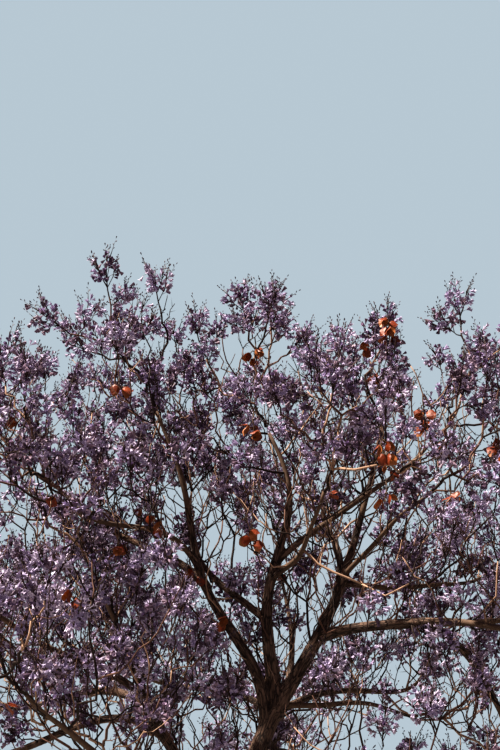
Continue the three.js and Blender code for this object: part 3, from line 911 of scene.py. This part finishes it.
wood = Pile()
spur_feet, spur_ways = [], []
for twig in twigs + shoots:
    line = twig["line"]
    thick = twig["radii"][0] > SHOOT_RADII[1]
    tone = rng.choice(len(TWIG_TONES), p=TWIG_TONE_SHARES)
    wood.add(*tube(line, np.linspace(*twig["radii"], len(line)), 4 if thick else 3), tone)
    along = tangents(line)
    for _ in range(SPURS_A_SHOOT):
        i = rng.integers(1, len(line))
        spur_feet.append(line[i] + (line[i - 1] - line[i]) * rng.uniform(0, 0.6))
        spur_ways.append(forked_from(along[i], rng.uniform(35, 75), rng.uniform(0, 2 * math.pi)) + UP * 0.3)
spurs = Pile()
spur_lengths = rng.uniform(*SPUR_LENGTHS, len(spur_feet))
spur_radii = np.full(len(spur_feet), SPUR_RADIUS)
spur_feet, spur_ways = np.array(spur_feet), units(np.array(spur_ways))
spurs.add(*scattered(SPIKE, SPIKE_FACES, spur_feet, spur_ways, spur_radii, spur_lengths))
twig_barks = [plain_skin(name, colour, TWIG_ROUGHNESS) for name, colour in TWIG_TONES.items()]
twig_piece = make_piece("twigs", wood, twig_barks, True)
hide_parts(*[f"blossom_{limb['name'].replace('stem_', '')}" for limb in carriers])
spur_piece = make_piece("spurs", spurs, twig_barks[:1], True)


# The blossom: upright panicles, each of a slender brown axis with a few arms that fan out and rise, and
# short sprays on the arms that carry lilac trumpets. A trumpet is a narrow tube that opens into five lobes,
# paler inside than out. The tips of axis and arms end in sprigs of small dark buds that stand clear.
FLOWER_LENGTH = 41
FLOWERS_A_SPRAY = (2, 3)
ARMS = 5
SPRAYS_AN_ARM = 5
SPRAY_LENGTHS = (26, 50)
SPRIGS_A_PANICLE = 12
SPRIG_LENGTHS = (58, 104)
SPRIG_BUDS = [0.5, 0.66, 0.83, 1.0]  # shares of a sprig's length that carry a bud
BUD_LENGTH = 19  # with its own stalk
BUD_WIDTH = 0.2
ARM_RADII = (2.8, 1.7)
SPRAY_RADIUS = 1.9
SPRIG_RADIUS = 3.4
GOLDEN_TURN = math.radians(137.5)
FULL_SIZE = 0.8  # a panicle above it has one more arm, and one more spray on each
STEM_SHARE = 0.84  # of a panicle's length
STEM_BOW = 0.04  # of a panicle's length, to its side
STEM_BARE = 0.45  # share of a panicle's stem below its first spray
ARM_BARE = 0.34
PETAL_ROUGHNESS = 0.6  # petals and buds are soft and shine a little, and the stalks are duller
STALK_ROUGHNESS = 0.7

# A trumpet one unit long that opens along +Z: its foot, its rim of notches and lobes, and its throat. The
# old ones low in a panicle have lost their lobes and are a plain funnel.
NOTCH_RADIUS = 0.2
NOTCH_HEIGHT = 0.76
LOBE_RADII = [0.38, 0.34, 0.38, 0.31, 0.31]
LOBE_HEIGHTS = [0.96, 1.0, 0.96, 0.86, 0.86]
THROAT_HEIGHT = 0.5
FUNNEL_RADIUS = 0.27
FUNNEL_HEIGHT = 0.9


def trumpet(lobed):
    """The trumpet's points, its triangles and which of them are its outside, 0, and its inside, 1."""
    rim = [(i, NOTCH_RADIUS, NOTCH_HEIGHT) for i in range(5)]
    rim += [(i + 0.5, *lobe) for i, lobe in enumerate(zip(LOBE_RADII, LOBE_HEIGHTS))]
    if not lobed:
        rim = [(i, FUNNEL_RADIUS, FUNNEL_HEIGHT) for i in range(5)]
    corners = [(0, 0, 0), (0, 0, THROAT_HEIGHT)]
    for fifths, radius, height in rim:
        turn = fifths * (2 * math.pi / 5)
        corners.append((radius * math.cos(turn), radius * math.sin(turn), height))
    outside, inside = [], []
    for i in range(5):
        notch, next_notch, lobe = 2 + i, 2 + (i + 1) % 5, 7 + i
        outside.append((0, next_notch, notch))
        if lobed:
            outside.append((notch, next_notch, lobe))
            inside += [(1, notch, lobe), (1, lobe, next_notch)]
        else:
            inside.append((1, notch, next_notch))
    sides = [0] * len(outside) + [1] * len(inside)
    return np.array(corners, float), np.array(outside + inside), np.array(sides)


def spread_along(line, shares):
    """The places and directions at shares of a line."""
    at = shares * (len(line) - 1)
    i = np.minimum(at.astype(int), len(line) - 2)
    span = line[i + 1] - line[i]
    return line[i] + span * (at - i)[:, None], units(span)


# The petals' outside and inside in each of five shades, dealt darkest low and deep inside a panicle and
# palest
# at its top and outer edge: partly old flowers that fade, partly painted shade below and inside and painted
# light on top. Also whether they still have their lobes.
SHADES = {
    "deep": ("#5f4c5d", "#9b88a7", False),
    "faded": ("#877281", "#bcabbe", False),
    "violet": ("#998baa", "#c1b4ce", True),
    "lilac": ("#ada0bb", "#c9bed4", True),
    "pale": ("#bdb1c6", "#d0c6d7", True),
}
# How a spray's shade follows its height and reach in the panicle, as painted light above and painted shade
# below and inside, and how much the panicle's own tone and chance move it.
TONE_OF_HEIGHT = 0.8
TONE_OF_REACH = 0.5
TONE_OF_PANICLE = 0.22
TONE_OF_SPRAY = 0.4

stalks = Pile()
spray_feet, spray_ways, spray_lengths, spray_tones = [], [], [], []
sprig_feet, sprig_ways, sprig_lengths = [], [], []
for panicle in panicles + fine_panicles:
    size, axis, foot = panicle["size"], panicle["axis"], panicle["foot"]
    length, reach = PANICLE_LENGTH * size, PANICLE_RADIUS * size
    side = forked_from(axis, 90, rng.uniform(0, 2 * math.pi))
    other = cross(axis, side)
    t = np.linspace(0, STEM_SHARE, 5)[:, None]
    stem = foot + axis * length * t + side * length * STEM_BOW * np.sin(math.pi * t)
    carrier = panicle["twig"]["line"]
    stem[0] = carrier[np.linalg.norm(carrier - foot, axis=1).argmin()]
    stalks.add(*tube(stem, np.linspace(*AXIS_RADII, 5) * (0.4 + 0.6 * size), 4))
    lines = []
    fewer = 0 if size > FULL_SIZE else 1
    for i in range(ARMS - fewer):
        turn = i * GOLDEN_TURN + rng.uniform(-0.3, 0.3)
        outward = side * math.cos(turn) + other * math.sin(turn)
        far = rng.uniform(0.3, 0.72)
        top = 0.8 - 0.26 * far**2 + rng.uniform(-0.08, 0.05)
        leaves = max(top - rng.uniform(0.34, 0.46), 0.07)
        t = np.linspace(0, 1, 3)[:, None]
        rise = leaves + (top - leaves) * t
        bow = side * length * STEM_BOW * np.sin(math.pi * leaves)
        arm = foot + axis * length * rise + outward * reach * far * np.sin(t * math.pi / 2) + bow
        stalks.add(*tube(arm, np.linspace(*ARM_RADII, 3), 3))
        lines.append((arm, ARM_BARE, SPRAYS_AN_ARM - fewer))
    lines.append((stem, STEM_BARE, SPRAYS_AN_ARM))
    own = rng.normal(0, TONE_OF_PANICLE)
    for line, first, count in lines:
        places, along = spread_along(line, np.linspace(first, 1, count) - rng.uniform(0, 0.06, count))
        heights = (places - foot) @ axis
        aside = places - foot - axis * heights[:, None]
        ways = units(along * 0.5 + aside / reach + rng.normal(0, 0.55, (count, 3)))
        spray_feet.append(places)
        spray_ways.append(ways)
        spray_lengths.append(rng.uniform(*SPRAY_LENGTHS, count) * (0.4 + 0.6 * size))
        # Higher and further out is paler: painted light on top and painted shade inside, besides older
        # flowers fading.
        tone = TONE_OF_HEIGHT * heights / length + TONE_OF_REACH * np.linalg.norm(aside, axis=1) / reach
        spray_tones.append(tone + own + rng.normal(0, TONE_OF_SPRAY, count))
    count = round(SPRIGS_A_PANICLE * size)
    picks = rng.integers(0, len(lines), count)
    for pick, share in zip(picks, rng.uniform(0.7, 1, count)):
        line = lines[pick][0]
        place, along = place_on(line, share)
        aside = place - foot - axis * ((place - foot) @ axis)
        sprig_feet.append(place)
        sprig_ways.append(along * 0.7 + aside / reach * 0.9 + UP * 0.5 + rng.normal(0, 0.22, 3))
        sprig_lengths.append(rng.uniform(*SPRIG_LENGTHS) * (0.5 + 0.5 * size) + 14)

feet, ways = np.concatenate(spray_feet), np.concatenate(spray_ways)
lengths, tones = np.concatenate(spray_lengths), np.concatenate(spray_tones)
shades = np.searchsorted(np.quantile(tones, np.linspace(0, 1, len(SHADES) + 1)[1:-1]), tones)
sprays = Pile()
sprays.add(*scattered(SPIKE, SPIKE_FACES, feet, ways, np.full(len(feet), SPRAY_RADIUS), lengths))
carried = np.repeat(np.arange(len(feet)), rng.integers(*FLOWERS_A_SPRAY, len(feet), endpoint=True))
count = len(carried)
bases = feet[carried] + ways[carried] * (lengths[carried] * rng.uniform(0.25, 0.9, count))[:, None]
droop = rng.uniform(-0.2, 0.7, count)[:, None]
facing = units(ways[carried] + rng.normal(0, 0.6, (count, 3)) - UP * droop)
sizes = FLOWER_LENGTH * rng.uniform(0.75, 1.1, count)
for number, (name, (outside, inside, lobed)) in enumerate(SHADES.items()):
    petals = [
        plain_skin(f"{name}_petal_outside", outside, PETAL_ROUGHNESS),
        plain_skin(f"{name}_petal_inside", inside, PETAL_ROUGHNESS),
    ]
    own = shades[carried] == number
    pile = Pile()
    corners, faces, sides = trumpet(lobed)
    made, faces = scattered(corners, faces, bases[own], facing[own], sizes[own], sizes[own])
    pile.add(made, faces, np.tile(sides, own.sum()))
    make_piece(f"blossom_{name}", pile, petals, False)

sprig_feet, sprig_lengths = np.array(sprig_feet), np.array(sprig_lengths)
sprig_ways = units(np.array(sprig_ways))
thin = np.full(len(sprig_feet), SPRIG_RADIUS)
sprays.add(*scattered(SPIKE, SPIKE_FACES, sprig_feet, sprig_ways, thin, sprig_lengths))
buds = Pile()
aside = units(np.cross(sprig_ways, rng.normal(0, 1, (len(sprig_feet), 3))))
for number, share in enumerate(SPRIG_BUDS):
    ways = units(sprig_ways + aside * (0 if share == 1 else (-1) ** number))
    sizes = BUD_LENGTH * rng.uniform(0.7, 1.15, len(ways))
    places = sprig_feet + sprig_ways * (sprig_lengths * share)[:, None]
    buds.add(*scattered(BUD, BUD_FACES, places, ways, sizes * BUD_WIDTH, sizes))

stalk_skin = plain_skin("flower_stalk", "#3f2c26", STALK_ROUGHNESS)
make_piece("flower_stalks", stalks, [stalk_skin], True)
make_piece("flower_sprays", sprays, [stalk_skin], True)
bud_skin = plain_skin("flower_bud", "#3f2c36", PETAL_ROUGHNESS)
make_piece("buds", buds, [bud_skin], False)


# The seed pods: last year's, flat and a little longer than wide, each of two woody shells that are hinged
# at the stalk and have split open along the wavy rim. They are dry and orange brown, paler inside, and hang
# in bunches from crooked woody stalks.
POD_SHELL_RADIUS = 29
POD_WIDTH = 0.86  # of a shell against its height
POD_OPENINGS = (8, 30)  # degrees that each shell has turned from the middle
POD_BULGE = 0.2  # of a shell against its radius
POD_HOLLOW = 0.1
POD_WAVE = 0.12
POD_SIDES = 18
POD_STALK_RADII = (3.6, 2.6)
BUNCH_STEP = 24  # between a bunch's side stalks down its stalk
BUNCH_LEAD = 40  # from the twig to the first side stalk
SIDE_STALK_LENGTHS = (12, 38)
PERCHES_TRIED = 160
COVER_REACH = 30  # pixels from a panicle's middle within which it hides some of a bunch
COVER_COST = 34  # pixels further from its place that a bunch may hang to be free of one panicle
# The pixel of the photograph, across and down, that each bunch hangs near, and how many pods it has.
POD_BUNCHES = [(245, 332, 4), (396, 325, 6), (362, 342, 2), (384, 340, 2), (402, 412, 6), (396, 432, 4)]
POD_BUNCHES += [(384, 458, 2), (390, 492, 2), (495, 440, 4), (243, 430, 3), (120, 380, 2), (148, 502, 2)]
POD_BUNCHES += [(164, 518, 2), (124, 548, 3), (250, 526, 4), (187, 565, 2), (78, 576, 2), (228, 617, 2)]
POD_BUNCHES += [(10, 411, 2)]
STANDING_BUNCH = (396, 325)  # on an old flower stalk that still stands up out of the crown


def pod_shell(side, opening):
    """One shell's points, its triangles and which of them are its outside, 0, and its hollow inside, 1.
    The hinge is at the start of +Z, and side tells which way the shell bulges along Y."""
    turn = np.arange(POD_SIDES) * 2 * math.pi / POD_SIDES
    rim_radius = 1 + POD_WAVE / 2 * np.sin(5 * turn)
    x, z = POD_WIDTH * rim_radius * np.sin(turn), 1 - rim_radius * np.cos(turn)
    rim = np.stack([x, POD_WAVE * np.sin(3 * turn) + 0.05 * side, z], 1)
    shoulder = np.stack([x * 0.6, np.full(POD_SIDES, POD_BULGE * 0.75 * side), 1 + (z - 1) * 0.6], 1)
    ends = np.array([(0, POD_BULGE * side, 1), (0, POD_HOLLOW * side, 1)])
    points = np.concatenate([rim, shoulder, ends])
    angle = math.radians(opening) * side
    y, z = points[:, 1].copy(), points[:, 2].copy()
    points[:, 1] = y * math.cos(angle) + z * math.sin(angle)
    points[:, 2] = z * math.cos(angle) - y * math.sin(angle)
    faces, slots = [], []
    for i in range(POD_SIDES):
        j = (i + 1) % POD_SIDES
        outer = [(i, j, POD_SIDES + j), (i, POD_SIDES + j, POD_SIDES + i)]
        outer.append((POD_SIDES + i, POD_SIDES + j, 2 * POD_SIDES))
        faces += outer + [(j, i, 2 * POD_SIDES + 1)]
        slots += [0, 0, 0, 1]
    faces = np.array(faces)
    return points, faces if side > 0 else faces[:, ::-1], np.array(slots)


fruit = Pile()


def add_pod(knot, outward, turn):
    """A pod that hangs by its hinge from the knot and points outward, turned about that."""
    across = forked_from(outward, 90, turn)
    axes = np.array([across, cross(outward, across), outward])
    for side in (-1, 1):
        points, faces, slots = pod_shell(side, rng.uniform(*POD_OPENINGS))
        fruit.add(knot + points @ axes * POD_SHELL_RADIUS * rng.uniform(0.9, 1.1), faces, slots)


def add_pod_stalk(start, knot):
    t = np.linspace(0, 1, 5)[:, None]
    line = start + (knot - start) * t
    line[1:-1] += rng.normal(0, 5, (3, 3))
    line, faces = tube(line, np.linspace(*POD_STALK_RADII, 5), 5)
    fruit.add(line, faces, 2)


for pod in pods:
    add_pod_stalk(pod["from"], pod["knot"])
    add_pod(pod["knot"], pod["outward"], pod["turn"])
perches = np.concatenate([twig["line"] for twig in twigs + shoots])
across, down = pixel_of(perches)
blooms = np.array([panicle["middle"] for panicle in panicles + fine_panicles])
bloom_across, bloom_down = pixel_of(blooms)
for x, y, count in POD_BUNCHES:
    length = BUNCH_LEAD + BUNCH_STEP * count
    upright = (x, y) == STANDING_BUNCH
    drop = UP * (-length if upright else length)
    hung = pixel_of(perches - drop / 2)[1]
    away = np.hypot(across - x, hung - y)
    tried = away.argsort()[:PERCHES_TRIED]
    apart = np.hypot(bloom_across - across[tried, None], bloom_down - hung[tried, None])
    in_front = blooms[:, 1] < perches[tried, None, 1] + PANICLE_RADIUS
    hidden = (np.maximum(1 - apart / COVER_REACH, 0) * in_front).sum(1)
    start = perches[tried[(away[tried] + COVER_COST * hidden).argmin()]]
    knot = start - drop
    add_pod_stalk(start, knot)
    turn = rng.uniform(0, 2 * math.pi)
    for i in range(count):
        turn += GOLDEN_TURN
        aside = np.array([math.cos(turn), math.sin(turn), -0.6])
        fork = knot + drop / length * BUNCH_STEP * i
        end = fork + unit(aside) * rng.uniform(*SIDE_STALK_LENGTHS)
        add_pod_stalk(fork, end)
        add_pod(end, unit(aside - UP * rng.uniform(0.4, 2)), rng.uniform(0, math.pi))

fruit_skins = [
    patched_skin("dry_pod_shell", "#3d160c", "#a24c20", 45, 0.5),
    patched_skin("pod_lining", "#82492a", "#bb7c4a", 45, 0.5),
]
make_piece("seed_pods", fruit, [*fruit_skins, young_bark], False)
